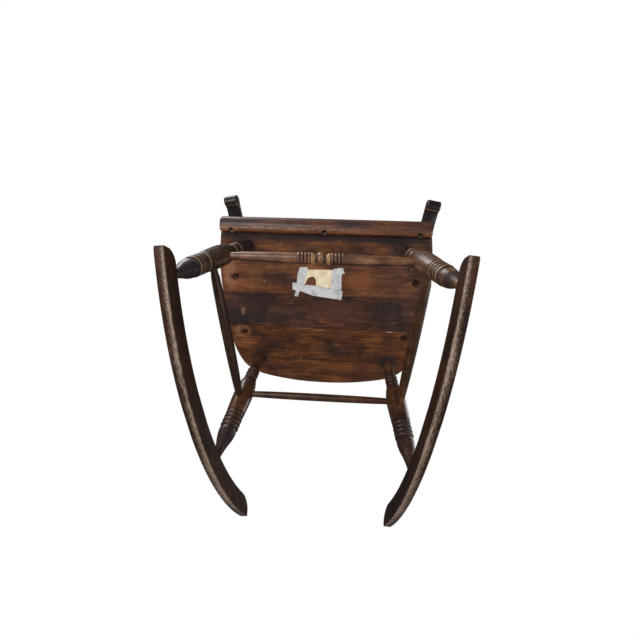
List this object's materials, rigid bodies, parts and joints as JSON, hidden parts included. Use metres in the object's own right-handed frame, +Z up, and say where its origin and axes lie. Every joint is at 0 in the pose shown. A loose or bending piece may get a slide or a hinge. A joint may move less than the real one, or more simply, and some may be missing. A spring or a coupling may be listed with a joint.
{
  "type": "rocking chair",
  "caption": "Wooden rocking chair with a rolled plank seat, turned legs on curved rockers, scroll arms and a tall raked spindle back.",
  "frame": {"origin": "centre of the chair's outer box, on the floor under the rockers, with the empty chair at its balance", "axes": "+Z up, -Y to the chair's front, +X to the sitter's left"},
  "size_m": [0.609, 0.7232, 1.0994],
  "materials": {
    "frame_wood": "very dark walnut varnish, worn pale along the rockers' bottom edges",
    "turned_wood": "glossy red-brown varnish with worn gold paint on the beads",
    "seat_wood": "brown stained boards with scratches and dark stains",
    "screw_steel": "old darkened steel",
    "label_paper": "yellowed matt paper, blank",
    "masking_tape": "matt off-white paper tape"
  },
  "bodies": {
    "root": {"arm_left": "frame_wood", "arm_post_front_left": "turned_wood", "arm_post_front_right": "turned_wood", "arm_post_rear_left": "turned_wood", "arm_post_rear_right": "turned_wood", "arm_post_screw_front_left": "screw_steel", "arm_post_screw_front_right": "screw_steel", "arm_post_screw_rear_left": "screw_steel", "arm_post_screw_rear_right": "screw_steel", "arm_right": "frame_wood", "back_post_left": "turned_wood", "back_post_right": "turned_wood", "back_spindle_1": "turned_wood", "back_spindle_2": "turned_wood", "back_spindle_3": "turned_wood", "back_spindle_4": "turned_wood", "back_spindle_5": "turned_wood", "back_spindle_6": "turned_wood", "back_spindle_7": "turned_wood", "crest_rail": "frame_wood", "front_leg_left": "turned_wood", "front_leg_right": "turned_wood", "front_stretcher": "turned_wood", "paper_label": "label_paper", "rear_leg_left": "turned_wood", "rear_leg_right": "turned_wood", "rear_stretcher": "turned_wood", "rocker_left": "frame_wood", "rocker_pin_front_left": "screw_steel", "rocker_pin_front_right": "screw_steel", "rocker_pin_rear_left": "screw_steel", "rocker_pin_rear_right": "screw_steel", "rocker_right": "frame_wood", "roll_screw_left": "screw_steel", "roll_screw_middle": "screw_steel", "roll_screw_right": "screw_steel", "seat_board_1": "seat_wood", "seat_board_2": "seat_wood", "seat_board_3": "seat_wood", "seat_board_4": "seat_wood", "seat_board_5": "seat_wood", "seat_front_roll": "frame_wood", "side_stretcher_left": "turned_wood", "side_stretcher_right": "turned_wood", "tape_left": "masking_tape", "tape_rear": "masking_tape", "tape_right": "masking_tape"}
  },
  "joints": []
}
